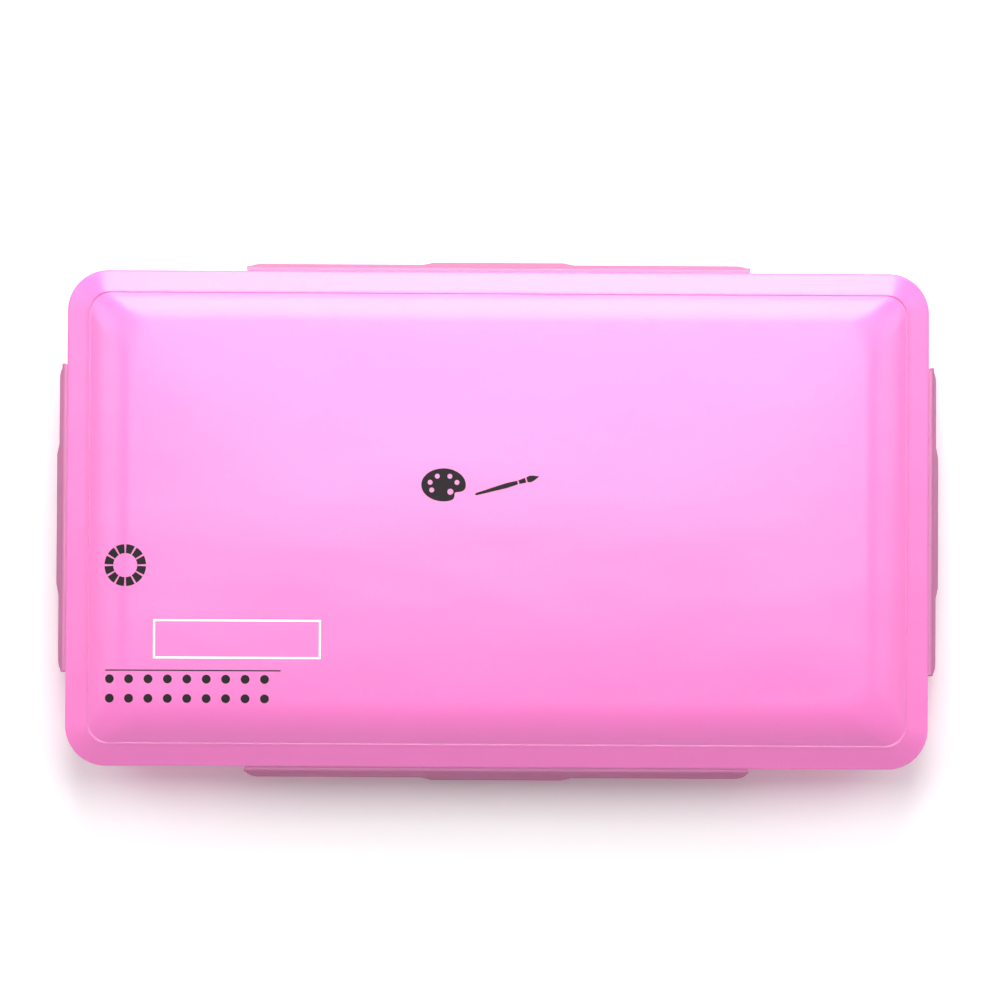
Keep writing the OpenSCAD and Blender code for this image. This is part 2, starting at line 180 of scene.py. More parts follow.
def white_paper():
    """Coated white paper: even and matt, with a fibre grain of about 2 mm too faint to count."""
    material, tree = new_material("coated_white_paper")
    place = add(tree, "ShaderNodeTexCoord")
    fibre = add(tree, "ShaderNodeTexNoise", {"Vector": place.outputs["Object"], "Scale": 500.0})
    tone = mixed(tree, fibre, linear("#EEEEEE"), linear("#F4F4F4"))
    matt = add(tree, "ShaderNodeBsdfDiffuse", {"Color": tone})
    lift = add(tree, "ShaderNodeBsdfDiffuse", {"Color": (0.33, 0.33, 0.33, 1)})
    both = add(tree, "ShaderNodeAddShader", {0: matt, 1: lift})
    # Well away from the box the sweep is plain white to the camera
    away = add(tree, "ShaderNodeVectorMath", {0: place.outputs["Object"]}, operation="LENGTH")
    far = ranged(tree, away.outputs["Value"], 0.30, 0.90)
    both = add(tree, "ShaderNodeMixShader", {0: far, 1: both, 2: add(tree, "ShaderNodeEmission")})
    ray = add(tree, "ShaderNodeLightPath")
    choice = add(tree, "ShaderNodeMixShader", {0: ray.outputs["Is Camera Ray"], 1: matt, 2: both})
    add(tree, "ShaderNodeOutputMaterial", {"Surface": choice})
    return material


def link_mesh(name, mesh):
    """A new object with its place in its mesh, at the origin."""
    piece = bpy.data.objects.new(name, mesh)
    bpy.context.scene.collection.objects.link(piece)
    return piece


half_floor = FLOOR_SIZE / 2
floor_mesh = bpy.data.meshes.new("floor")
floor_mesh.from_pydata(
    [(-half_floor, -half_floor, 0), (half_floor, -half_floor, 0),
     (half_floor, half_floor, 0), (-half_floor, half_floor, 0)],
    [], [(0, 1, 2, 3)],
)
floor_mesh.materials.append(white_paper())
link_mesh("floor", floor_mesh)

# ---- Base tray ----
# One injection moulding in pink polypropylene: a shallow tray on a foot ring, with a turned-down
# rim, low ribs that part the cups, and lugs under the rim that the clips' bars snap over.

LID_LENGTH, LID_WIDTH, LID_CORNER = 330, 189.9, 15.5
RIM_INSET, RIM_TOP, RIM_DEPTH, RIM_WALL, RIM_EDGE = 2.6, 30.0, 9.5, 2.0, 0.8
TRAY_INSET, TRAY_WALL, TRAY_DRAFT = 10.0, 1.8, 3.0
TRAY_FLOOR, TRAY_FOOT, TRAY_EDGE = 2.6, 0.8, 2.5
tray_lean = math.tan(math.radians(TRAY_DRAFT)) * (RIM_TOP - TRAY_FLOOR)
FOOT_WIDTH = 2.0
SMALL_EDGE = 0.3  # radius that a mould leaves on a thin edge
RIB_HEIGHT, RIB_THICKNESS = 8.0, 1.2
LUG_UNDER, LUG_THICKNESS, LUG_TIP, LUG_BITE = 21.5, 2.5, 1.4, 0.9
CUP_PITCH = (51.0, 55.3)
CUP_COLUMNS, CUP_ROWS = 6, 3
# Turn of each side about the box's middle, and its distance out
SIDES = {
    "front": (180, LID_WIDTH / 2), "back": (0, LID_WIDTH / 2),
    "left": (90, LID_LENGTH / 2), "right": (-90, LID_LENGTH / 2),
}
LUG_LENGTHS = {"front": 40, "back": 40, "left": 22, "right": 22}
LUG_PLACES = {"front": 48, "back": 48, "left": 28, "right": 28}


def section_round_tree():
    """Geometry Nodes that carry a section round a rounded rectangle.

    The section is a line of points: x is the inset from the outline, z the height, and the
    attribute corner_radius the radius of the rectangle there. Where the inset reaches the middle,
    the ring closes on itself, so a section that starts and ends there makes a closed shell.
    """
    tree = bpy.data.node_groups.new("section_round_a_rounded_rectangle", "GeometryNodeTree")
    for name, kind in (
        ("Section", "NodeSocketGeometry"), ("Length", "NodeSocketFloat"),
        ("Width", "NodeSocketFloat"), ("Corner steps", "NodeSocketInt"),
        ("Straight steps", "NodeSocketInt"),
    ):
        tree.interface.new_socket(name=name, in_out="INPUT", socket_type=kind)
    tree.interface.new_socket(name="Shell", in_out="OUTPUT", socket_type="NodeSocketGeometry")
    given = add(tree, "NodeGroupInput")
    section = given.outputs["Section"]
    rows = add(tree, "GeometryNodeAttributeDomainSize", {0: section}, component="MESH")
    side_steps = calc(tree, "ADD", given.outputs["Corner steps"], given.outputs["Straight steps"])
    around = calc(tree, "MULTIPLY", side_steps, 4.0)
    spots = calc(tree, "ADD", around, 1.0)
    row_span = calc(tree, "SUBTRACT", rows.outputs["Point Count"], 1.0)
    grid = add(tree, "GeometryNodeMeshGrid", {
        "Size X": row_span, "Size Y": around,
        "Vertices X": rows.outputs["Point Count"], "Vertices Y": spots,
    })
    # Each grid point knows its row and its spot round the ring from where it lies
    where = add(tree, "ShaderNodeSeparateXYZ", {0: add(tree, "GeometryNodeInputPosition")})
    half_rows = calc(tree, "MULTIPLY", row_span, 0.5)
    half_around = calc(tree, "MULTIPLY", around, 0.5)
    row = calc(tree, "ADD", where.outputs["X"], half_rows)
    row_whole = calc(tree, "ROUND", row)
    spot = calc(tree, "ADD", where.outputs["Y"], half_around)
    spot_whole = calc(tree, "ROUND", spot)
    point = add(tree, "GeometryNodeSampleIndex", {
        "Geometry": section, "Value": add(tree, "GeometryNodeInputPosition"), "Index": row_whole,
    }, data_type="FLOAT_VECTOR")
    point = add(tree, "ShaderNodeSeparateXYZ", {0: point})
    named = add(tree, "GeometryNodeInputNamedAttribute", {"Name": "corner_radius"},
                data_type="FLOAT")
    radius = add(tree, "GeometryNodeSampleIndex", {
        "Geometry": section, "Value": named, "Index": row_whole,
    }, data_type="FLOAT")
    # Which side the spot is on, how far round its corner, and how far along its straight
    spot_sides = calc(tree, "DIVIDE", spot_whole, side_steps)
    side = calc(tree, "FLOOR", spot_sides)
    side_start = calc(tree, "MULTIPLY", side, side_steps)
    local = calc(tree, "SUBTRACT", spot_whole, side_start)
    round_corner = calc(tree, "DIVIDE", local, given.outputs["Corner steps"], use_clamp=True)
    past_corner = calc(tree, "SUBTRACT", local, given.outputs["Corner steps"])
    along = calc(tree, "DIVIDE", past_corner, given.outputs["Straight steps"], use_clamp=True)
    turned = calc(tree, "ADD", side, round_corner)
    angle = calc(tree, "MULTIPLY", turned, math.pi / 2)
    ends = []
    for axis, wave in (("Length", "COSINE"), ("Width", "SINE")):
        half = calc(tree, "MULTIPLY", given.outputs[axis], 0.5)
        to_ring = calc(tree, "SUBTRACT", half, point.outputs["X"])
        reach = calc(tree, "SUBTRACT", to_ring, radius)
        corners = []
        for step in (0.5, 1.5):
            quarter = calc(tree, "ADD", side, step)
            middle = calc(tree, "MULTIPLY", quarter, math.pi / 2)
            corners.append(calc(tree, "SIGN", calc(tree, wave, middle)))
        centre = add(tree, "ShaderNodeMix", {0: along, 2: corners[0], 3: corners[1]})
        centre = calc(tree, "MULTIPLY", centre, reach)
        ends.append(calc(tree, "MULTIPLY_ADD", calc(tree, wave, angle), radius, centre))
    place = add(tree, "ShaderNodeCombineXYZ", {0: ends[0], 1: ends[1], 2: point.outputs["Z"]})
    moved = add(tree, "GeometryNodeSetPosition", {"Geometry": grid, "Position": place})
    closed = add(tree, "GeometryNodeMergeByDistance", {"Geometry": moved, "Distance": 1e-6})
    smooth = add(tree, "GeometryNodeSetShadeSmooth", {"Geometry": closed})
    add(tree, "NodeGroupOutput", {0: smooth})
    return tree


def rows_of_pieces_tree():
    """Geometry Nodes that repeat a piece in even columns and rows about the middle."""
    tree = bpy.data.node_groups.new("rows_of_pieces", "GeometryNodeTree")
    for name, kind in (
        ("Piece", "NodeSocketGeometry"), ("Columns", "NodeSocketInt"), ("Rows", "NodeSocketInt"),
        ("Column spacing", "NodeSocketFloat"), ("Row spacing", "NodeSocketFloat"),
    ):
        tree.interface.new_socket(name=name, in_out="INPUT", socket_type=kind)
    tree.interface.new_socket(name="Pieces", in_out="OUTPUT", socket_type="NodeSocketGeometry")
    given = add(tree, "NodeGroupInput")
    spans = []
    for count, spacing in (("Columns", "Column spacing"), ("Rows", "Row spacing")):
        gaps = calc(tree, "SUBTRACT", given.outputs[count], 1.0)
        spans.append(calc(tree, "MULTIPLY", gaps, given.outputs[spacing]))
    grid = add(tree, "GeometryNodeMeshGrid", {
        "Size X": spans[0], "Size Y": spans[1],
        "Vertices X": given.outputs["Columns"], "Vertices Y": given.outputs["Rows"],
    })
    points = add(tree, "GeometryNodeMeshToPoints", {"Mesh": grid})
    placed = add(tree, "GeometryNodeInstanceOnPoints", {
        "Points": points, "Instance": given.outputs["Piece"]})
    add(tree, "NodeGroupOutput", {
        0: add(tree, "GeometryNodeRealizeInstances", {"Geometry": placed})})
    return tree


def finished(source):
    """The plain mesh of an object with its modifiers applied; the object itself goes."""
    graph = bpy.context.evaluated_depsgraph_get()
    mesh = bpy.data.meshes.new_from_object(source.evaluated_get(graph))
    mesh.name = source.name
    bpy.data.objects.remove(source)
    return mesh


def coated(mesh, material):
    """The same mesh with every face in one material."""
    mesh.materials.clear()
    mesh.materials.append(material)
    for face in mesh.polygons:
        face.material_index = 0
    return mesh


def shaped(source, tree, material, values):
    """The mesh that a node tree makes of an object, in a material, with its inputs set by name."""
    modifier = source.modifiers.new("shape", "NODES")
    modifier.node_group = tree
    for item in tree.interface.items_tree:
        if item.in_out == "INPUT" and item.name in values:
            modifier[item.identifier] = values[item.name]
    return coated(finished(source), material)


def outward(mesh):
    """Turns a closed mesh's faces outwards and drops any face that closed to nothing."""
    work = bmesh.new()
    work.from_mesh(mesh)
    bmesh.ops.dissolve_degenerate(work, edges=work.edges, dist=1e-7)
    bmesh.ops.recalc_face_normals(work, faces=work.faces)
    if work.calc_volume(signed=True) < 0:
        bmesh.ops.reverse_faces(work, faces=work.faces)
    work.to_mesh(mesh)
    work.free()
    return mesh


section_round = section_round_tree()
rows_of_pieces = rows_of_pieces_tree()


def arc(centre, radius, start, end, steps):
    """Points on an arc, with its angles in degrees."""
    angles = [math.radians(start + (end - start) * step / steps) for step in range(steps + 1)]
    return [(centre[0] + radius * math.cos(a), centre[1] + radius * math.sin(a)) for a in angles]


def supported(line, margin=0.4):
    """Adds a point near each end of a long flat, so that the roundings beside it don't tint it."""
    points = [line[0]]
    for start, end in zip(line, line[1:]):
        length = math.dist(start, end)
        if length > 6 * margin:
            for share in (margin / length, 1 - margin / length):
                points.append(tuple(a + (b - a) * share for a, b in zip(start, end)))
        points.append(end)
    return points


def shell(name, line, size, corner, material, corner_steps=12, straight_steps=4):
    """A closed shell in mm from a line of (inset, height); corner(inset) is its corner radius."""
    rows = supported(line)
    strip = bpy.data.meshes.new(name)
    strip.from_pydata([(inset * MM, 0, height * MM) for inset, height in rows],
                      [(step, step + 1) for step in range(len(rows) - 1)], [])
    radii = strip.attributes.new("corner_radius", "FLOAT", "POINT")
    for item, (inset, height) in zip(radii.data, rows):
        item.value = max(0, min(corner(inset), min(size) / 2 - inset)) * MM
    return outward(shaped(link_mesh(name, strip), section_round, material, {
        "Length": size[0] * MM, "Width": size[1] * MM, "Corner steps": corner_steps,
        "Straight steps": straight_steps,
    }))


def prism(name, outline, length, edge, material):
    """A straight bar along x with an outline of (y, z) and rounded edges, in mm."""
    half = length / 2
    count = len(outline)
    mesh = bpy.data.meshes.new(name)
    mesh.from_pydata(
        [(x * MM, y * MM, z * MM) for x in (-half, half) for y, z in outline], [],
        [tuple(range(count)), tuple(range(2 * count - 1, count - 1, -1))] + [
            (step, step + count, (step + 1) % count + count, (step + 1) % count)
            for step in range(count)],
    )
    mesh.materials.append(material)
    bar = link_mesh(name, mesh)
    rounding = bar.modifiers.new("edges", "BEVEL")
    rounding.width = edge * MM
    rounding.segments = 2
    rounding.limit_method = "ANGLE"
    rounding.angle_limit = math.radians(25)
    return outward(finished(bar))


def at_side(mesh, side):
    """Moves a mesh made with y pointing out of the box to one of its sides."""
    turn, reach = SIDES[side]
    mesh.transform(Matrix.Rotation(math.radians(turn), 4, "Z")
                   @ Matrix.Translation((0, reach * MM, 0)))
    return mesh


def joined(name, meshes):
    """One mesh from several of one material."""
    work = bmesh.new()
    for mesh in meshes:
        work.from_mesh(mesh)
    whole = bpy.data.meshes.new(name)
    work.to_mesh(whole)
    work.free()
    return coated(whole, meshes[0].materials[0])


def moulded_pink(name, colour, flow_colour, roughness, translucence, transmission=0.0):
    """Injection-moulded polypropylene from a satin-polished mould.

    It is waxy and slightly translucent: a soft highlight that wavers over 60 mm sink marks, colour
    that glows a little through thin walls, hairline rubs, and a skin of fine pores.
    """
    material, tree = new_material(name)
    place = add(tree, "ShaderNodeTexCoord").outputs["Object"]
    # Shallow sink marks and flow marks, stretched along the box
    stretched = add(tree, "ShaderNodeMapping", {"Vector": place, "Scale": (12.0, 26.0, 26.0)})
    flow = add(tree, "ShaderNodeTexNoise", {"Vector": stretched, "Scale": 1.0, "Detail": 2.0})
    # Hairline rubs about 0.15 mm wide, in two directions
    rubs = []
    for turn, length_scale in ((0.35, 30.0), (-0.8, 22.0)):
        turned = add(tree, "ShaderNodeMapping", {
            "Vector": place, "Rotation": (0, 0, turn), "Scale": (length_scale, 2400.0, 2400.0)})
        rub = add(tree, "ShaderNodeTexNoise", {"Vector": turned, "Scale": 1.0, "Detail": 1.0})
        rubs.append(ranged(tree, rub, 0.70, 0.80))
    rubbed = calc(tree, "MAXIMUM", rubs[0], rubs[1])
    patch = add(tree, "ShaderNodeTexNoise", {"Vector": place, "Scale": 16.0, "Detail": 1.0})
    worn = ranged(tree, patch, 0.52, 0.72)
    rubbed = calc(tree, "MULTIPLY", rubbed, worn)
    # The skin's pores, drawn at 0.5 mm so that they show
    pores = add(tree, "ShaderNodeTexNoise", {"Vector": place, "Scale": 2000.0, "Detail": 1.0})
    tone = mixed(tree, flow, linear(colour), linear(flow_colour))
    rough = ranged(tree, flow, 0, 1, roughness - 0.03, roughness + 0.03)
    rough = calc(tree, "MULTIPLY_ADD", rubbed, 0.15, rough)
    sunk = add(tree, "ShaderNodeBump", {"Height": flow, "Strength": 1.0, "Distance": 0.0007})
    height = calc(tree, "MULTIPLY_ADD", rubbed, -1.5, pores)
    bump = add(tree, "ShaderNodeBump", {
        "Height": height, "Strength": 0.1, "Distance": 0.0001, "Normal": sunk})
    skin = add(tree, "ShaderNodeBsdfPrincipled", {
        "Base Color": tone, "Roughness": rough, "IOR": 1.5, "Normal": bump,
        "Specular IOR Level": 1.0, "Subsurface Weight": translucence,
        "Subsurface Radius": (1.0, 0.45, 0.8), "Subsurface Scale": 0.006,
        "Transmission Weight": transmission,
    })
    add(tree, "ShaderNodeOutputMaterial", {"Surface": skin})
    return material


def tray_line():
    """The tray's section: out over the floor, up the wall, over the rim and back underneath."""
    foot_inset = TRAY_INSET + tray_lean
    inner_edge = TRAY_EDGE - 0.5
    under = RIM_TOP - RIM_WALL
    hem = RIM_TOP - RIM_DEPTH
    hem_inner = RIM_INSET + RIM_WALL
    outer_wall = TRAY_INSET - TRAY_WALL
    outer_foot = foot_inset - TRAY_WALL
    ring = outer_foot + TRAY_EDGE
    ring_end = ring + FOOT_WIDTH
    return (
        [(LID_WIDTH / 2, TRAY_FLOOR)]
        + arc((foot_inset + inner_edge, TRAY_FLOOR + inner_edge), inner_edge, 270, 180, 6)
        + arc((TRAY_INSET - 0.5, RIM_TOP - 0.5), 0.5, 0, 90, 3)
        + arc((RIM_INSET + RIM_EDGE, RIM_TOP - RIM_EDGE), RIM_EDGE, 90, 180, 4)
        + arc((RIM_INSET + SMALL_EDGE, hem + SMALL_EDGE), SMALL_EDGE, 180, 270, 2)
        + arc((hem_inner - SMALL_EDGE, hem + SMALL_EDGE), SMALL_EDGE, 270, 360, 2)
        + arc((hem_inner + 0.5, under - 0.5), 0.5, 180, 90, 3)
        + arc((outer_wall - 0.5, under - 0.5), 0.5, 90, 0, 3)
        + arc((ring, TRAY_FOOT + TRAY_EDGE), TRAY_EDGE, 180, 270, 6)
        + arc((ring + SMALL_EDGE, SMALL_EDGE), SMALL_EDGE, 180, 270, 2)
        + arc((ring_end - SMALL_EDGE, SMALL_EDGE), SMALL_EDGE, 270, 360, 2)
        + [(ring_end, TRAY_FOOT), (LID_WIDTH / 2, TRAY_FOOT)]
    )


def tray_ribs(columns, rows, length, turn):
    """The ribs that lie one way across the tray's floor, a little wider at their roots."""
    root = RIB_THICKNESS / 2 + RIB_HEIGHT * math.tan(math.radians(TRAY_DRAFT))
    half_top = RIB_THICKNESS / 2
    low, high = TRAY_FLOOR - 0.5, TRAY_FLOOR + RIB_HEIGHT
    rib = prism("tray_rib", [(-root, low), (root, low), (half_top, high), (-half_top, high)],
                length, 0.25, tray_plastic)
    rib.transform(Matrix.Rotation(math.radians(turn), 4, "Z"))
    return shaped(link_mesh("tray_ribs", rib), rows_of_pieces, tray_plastic, {
        "Columns": columns, "Rows": rows, "Column spacing": CUP_PITCH[0] * MM,
        "Row spacing": CUP_PITCH[1] * MM,
    })


def tray_lugs(side):
    """The two lugs on one side: flat below, and sloped above so that a clip rides over them."""
    root = -(RIM_INSET + 0.5)
    lug = prism("tray_lug", [
        (root, LUG_UNDER), (LUG_TIP - LUG_BITE / 2, LUG_UNDER),
        (LUG_TIP, LUG_UNDER + LUG_BITE / 2), (LUG_TIP, LUG_UNDER + LUG_BITE),
        (-RIM_INSET, LUG_UNDER + LUG_THICKNESS), (root, LUG_UNDER + LUG_THICKNESS),
    ], LUG_LENGTHS[side], 0.2, tray_plastic)
    pair = shaped(link_mesh("tray_lugs", lug), rows_of_pieces, tray_plastic, {
        "Columns": 2, "Rows": 1, "Column spacing": 2 * LUG_PLACES[side] * MM, "Row spacing": 1.0,
    })
    return at_side(pair, side)


tray_plastic = moulded_pink("satin_moulded_polypropylene_tray", "#FC79C6", "#FB72C1", 0.28, 0.3)
tray_inside = [side - 2 * TRAY_INSET - 2 * tray_lean for side in (LID_LENGTH, LID_WIDTH)]
tray_meshes = [
    shell("tray", tray_line(), (LID_LENGTH, LID_WIDTH), lambda inset: LID_CORNER - inset,
          tray_plastic),
    tray_ribs(CUP_COLUMNS - 1, 1, tray_inside[1], 90),
    tray_ribs(1, CUP_ROWS - 1, tray_inside[0], 0),
] + [tray_lugs(side) for side in SIDES]
tray_piece = link_mesh("tray_moulding", joined("tray_moulding", tray_meshes))
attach(tray_piece, "base")
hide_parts("base_tray")

# ---- Cups ----
# Eighteen thin cups moulded in clear polypropylene, with leaning walls and a flat flange. They
# stand loose on the tray's floor, three deep and six along, and lift straight out.

CUP_SIZE, CUP_HEIGHT, CUP_WALL, CUP_FLANGE = (50.0, 54.3), 24.0, 1.0, 2.0
CUP_DRAFT, CUP_CORNER = 7.0, 9.0
CUP_FOOT_EDGE = 1.5
cup_lean = math.tan(math.radians(CUP_DRAFT)) * (CUP_HEIGHT - CUP_WALL)


def clear_polypropylene():
    """Thin clarified polypropylene, moulded: clear with a faint milky haze and a satin gloss."""
    material, tree = new_material("clear_moulded_polypropylene")
    place = add(tree, "ShaderNodeTexCoord").outputs["Object"]
    # Milky clouds about 12 mm across, where the wall cooled unevenly
    haze = add(tree, "ShaderNodeTexNoise", {"Vector": place, "Scale": 80.0, "Detail": 2.0})
    tone = mixed(tree, haze, linear("#F3F6F8"), linear("#E6ECEF"))
    rough = ranged(tree, haze, 0, 1, 0.10, 0.30)
    # Fine turning lines of the mould, drawn 1.7 mm apart so that they show
    lines = add(tree, "ShaderNodeTexWave", {"Vector": place, "Scale": 180.0, "Distortion": 0.4},
                bands_direction="Z")
    bump = add(tree, "ShaderNodeBump", {"Height": lines, "Strength": 0.06, "Distance": 0.0002})
    skin = add(tree, "ShaderNodeBsdfPrincipled", {
        "Base Color": tone, "Roughness": rough, "IOR": 1.49, "Normal": bump,
        "Transmission Weight": 0.85, "Subsurface Weight": 0.1, "Subsurface Scale": 0.002,
    })
    add(tree, "ShaderNodeOutputMaterial", {"Surface": skin})
    return material


def cup_line():
    """A cup's section: out over its inner floor, up the wall, round the flange and back."""
    outer_foot = CUP_FLANGE + cup_lean
    inner_foot = outer_foot + CUP_WALL
    below = CUP_HEIGHT - CUP_WALL
    return (
        [(CUP_SIZE[0] / 2, CUP_WALL)]
        + arc((inner_foot + CUP_FOOT_EDGE, CUP_WALL + CUP_FOOT_EDGE), CUP_FOOT_EDGE, 270, 187, 4)
        + arc((CUP_FLANGE + CUP_WALL - 0.3, CUP_HEIGHT - 0.3), 0.3, 0, 90, 2)
        + arc((0.25, CUP_HEIGHT - 0.25), 0.25, 90, 180, 2)
        + arc((0.25, below + 0.25), 0.25, 180, 270, 2)
        + [(CUP_FLANGE - 0.2, below), (CUP_FLANGE + 0.02, below - 0.2)]
        + arc((outer_foot + CUP_FOOT_EDGE, CUP_FOOT_EDGE), CUP_FOOT_EDGE, 187, 270, 4)
        + [(CUP_SIZE[0] / 2, 0)]
    )


def at_cup(mesh, index):
    """A copy of a mesh made about one cup's foot, moved to that cup's place in the tray."""
    column, row = index % CUP_COLUMNS, index // CUP_COLUMNS
    copy = mesh.copy()
    copy.transform(Matrix.Translation(Vector((
        CUP_PITCH[0] * (column - (CUP_COLUMNS - 1) / 2),
        CUP_PITCH[1] * ((CUP_ROWS - 1) / 2 - row),
        TRAY_FLOOR,
    )) * MM))
    return copy


cup_mesh = shell("cup", cup_line(), CUP_SIZE, lambda inset: CUP_CORNER + CUP_FLANGE - inset,
                 clear_polypropylene(), 8, 2)
cup_names = [f"cup_{index + 1:02d}" for index in range(CUP_COLUMNS * CUP_ROWS)]
for index, name in enumerate(cup_names):
    cup_piece = link_mesh(f"{name}_moulding", at_cup(cup_mesh, index))
    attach(cup_piece, name)
    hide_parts(name)

# ---- Gouache ----
# Eighteen fills of soft gouache, poured into the cups by a nozzle. Each has climbed a little up
# its wall and has the low swirl that the nozzle left.

GOUACHE = (
    ("titanium_white", "#F6F4EE"), ("cream", "#F6E7B0"), ("lemon_yellow", "#FBE023"),
    ("warm_yellow", "#F8B51C"), ("orange", "#F0701E"), ("vermilion", "#DC2F1F"),
    ("rose", "#D9407F"), ("mauve", "#B05BB0"), ("violet", "#553A8C"),
    ("deep_blue", "#1D2C66"), ("ultramarine", "#2347A8"), ("sky_blue", "#3F9AD8"),
    ("turquoise", "#1FA79A"), ("deep_green", "#1D6B40"), ("grass_green", "#7AB32E"),
    ("ochre", "#C28A35"), ("brown", "#6B3A1F"), ("black", "#1B1A1C"),
)
PAINT_DEPTH, PAINT_GAP = 17.0, 0.1
PAINT_CLIMB = 0.6  # how far the paint has crept up the wall
SWIRL_HEIGHT, SWIRL_SPACING, SWIRL_REACH = 0.28, 5.0, 13.0


def wet_gouache(name, colour):
    """Opaque pigment in gum arabic, still moist: a soft wet gloss with drier, duller patches."""
    material, tree = new_material(f"moist_gouache_{name}")
    place = add(tree, "ShaderNodeTexCoord").outputs["Object"]
    # Patches about 10 mm across where the binder has dried a little more
    patch = add(tree, "ShaderNodeTexNoise", {"Vector": place, "Scale": 100.0, "Detail": 3.0})
    dry = tuple(part * 0.86 for part in linear(colour)[:3]) + (1.0,)
    tone = mixed(tree, patch, linear(colour), dry)
    rough = ranged(tree, patch, 0, 1, 0.18, 0.52)
    # Pigment grain, drawn at 0.6 mm so that it shows
    grain = add(tree, "ShaderNodeTexNoise", {"Vector": place, "Scale": 1700.0, "Detail": 1.0})
    bump = add(tree, "ShaderNodeBump", {"Height": grain, "Strength": 0.15, "Distance": 0.0003})
    paste = add(tree, "ShaderNodeBsdfPrincipled", {
        "Base Color": tone, "Roughness": rough, "IOR": 1.45, "Normal": bump,
        "Subsurface Weight": 0.06, "Subsurface Scale": 0.001,
    })
    add(tree, "ShaderNodeOutputMaterial", {"Surface": paste})
    return material


def paint_line():
    """A fill's section: out over its top in small steps, down beside the wall, and back."""
    wall = CUP_FLANGE + CUP_WALL + PAINT_GAP
    lean = math.tan(math.radians(CUP_DRAFT))
    top = CUP_WALL + PAINT_DEPTH - PAINT_CLIMB - SWIRL_HEIGHT
    top_inset = wall + lean * (CUP_HEIGHT - top)
    foot_inset = wall + lean * (CUP_HEIGHT - CUP_WALL)
    reach = CUP_SIZE[0] / 2 - top_inset
    return (
        [(CUP_SIZE[0] / 2 - reach * step / 18, top) for step in range(19)]
        + [(foot_inset, CUP_WALL + 0.05), (CUP_SIZE[0] / 2, CUP_WALL + 0.05)]
    )


def poured(mesh, seed):
    """Gives a fill's flat top its swirl and lumps and the rise beside the wall."""
    draw = random.Random(seed)
    turn, shift = draw.uniform(0, math.tau), draw.uniform(0, 50)
    level = max(vertex.co.z for vertex in mesh.vertices)
    half = [max(vertex.co[axis] for vertex in mesh.vertices if vertex.co.z > level - 1e-6) / MM
            for axis in (0, 1)]
    for vertex in mesh.vertices:
        if vertex.co.z < level - 1e-6:
            continue
        x, y = vertex.co.x / MM, vertex.co.y / MM
        to_wall = min(half[0] - abs(x), half[1] - abs(y))
        round_middle, out = math.atan2(y, x), math.hypot(x, y)
        swirl = math.sin(math.tau * out / SWIRL_SPACING + round_middle + turn)
        fade = min(1, max(0, to_wall) / 4)
        lump = noise.noise(Vector((x * 0.11, y * 0.11, shift)))
        rise = PAINT_CLIMB * math.exp(-max(0, to_wall) / 1.3)
        rise += fade * SWIRL_HEIGHT * swirl * math.exp(-(out / SWIRL_REACH) ** 2)
        rise += fade * 0.5 * lump * PAINT_CLIMB
        vertex.co.z += rise * MM
    return mesh


for index, (name, colour) in enumerate(GOUACHE):
    fill = shell(f"paint_{index + 1:02d}", paint_line(), CUP_SIZE,
                 lambda inset: CUP_CORNER + CUP_FLANGE - inset, wet_gouache(name, colour), 6, 8)
    fill_piece = link_mesh(f"paint_{index + 1:02d}_fill", at_cup(poured(fill, index), index))
    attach(fill_piece, cup_names[index])
    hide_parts(f"paint_{index + 1:02d}")

# ---- Films ----
# A clear lidding film heat-sealed to each cup's flange. It is flat and dimpled where the sealing
# bar pressed it, and a little slack and wrinkled over the paint.

FILM_MARGIN, FILM_THICKNESS = 0.3, 0.2
SEAL_WIDTH = 2.6  # reach of the flat seal in from the film's edge
FILM_SAG, FILM_WRINKLE = 0.5, 0.12
FILM_SIZE = tuple(side - 2 * FILM_MARGIN for side in CUP_SIZE)


def lidding_film():
    """Clear heat-seal film: glossy over the paint, and frosted with small diamonds on the seal."""
    material, tree = new_material("clear_heat_sealed_film")
    place = add(tree, "ShaderNodeTexCoord").outputs["Object"]
    sealed = add(tree, "ShaderNodeAttribute", attribute_name="sealed").outputs["Fac"]
    # Diamonds of the sealing bar, 1 mm apart
    diamonds = []
    for turn in (math.pi / 4, -math.pi / 4):
        turned = add(tree, "ShaderNodeMapping", {"Vector": place, "Rotation": (0, 0, turn)})
        diamonds.append(add(tree, "ShaderNodeTexWave", {"Vector": turned, "Scale": 314.0}))
    diamond = calc(tree, "MULTIPLY", diamonds[0], diamonds[1])
    pressed = calc(tree, "MULTIPLY", diamond, sealed)
    rough = ranged(tree, sealed, 0, 1, 0.06, 0.42)
    tone = mixed(tree, pressed, linear("#FBFCFD"), linear("#D9DEE2"))
    bump = add(tree, "ShaderNodeBump", {"Height": pressed, "Strength": 0.5, "Distance": 0.0002})
    skin = add(tree, "ShaderNodeBsdfPrincipled", {
        "Base Color": tone, "Roughness": rough, "IOR": 1.5, "Normal": bump,
        "Transmission Weight": 0.985,
    })
    add(tree, "ShaderNodeOutputMaterial", {"Surface": skin})
    return material


def film_line():
    """A film's section: out over its top in small steps, round its edge and back below."""
    half = FILM_SIZE[0] / 2
    insets = [half - (half - SEAL_WIDTH) * step / 12 for step in range(13)]
    top, low = CUP_HEIGHT + FILM_THICKNESS, CUP_HEIGHT
    return ([(inset, top) for inset in insets] + [(0, top), (0, low)]
            + [(inset, low) for inset in reversed(insets)])


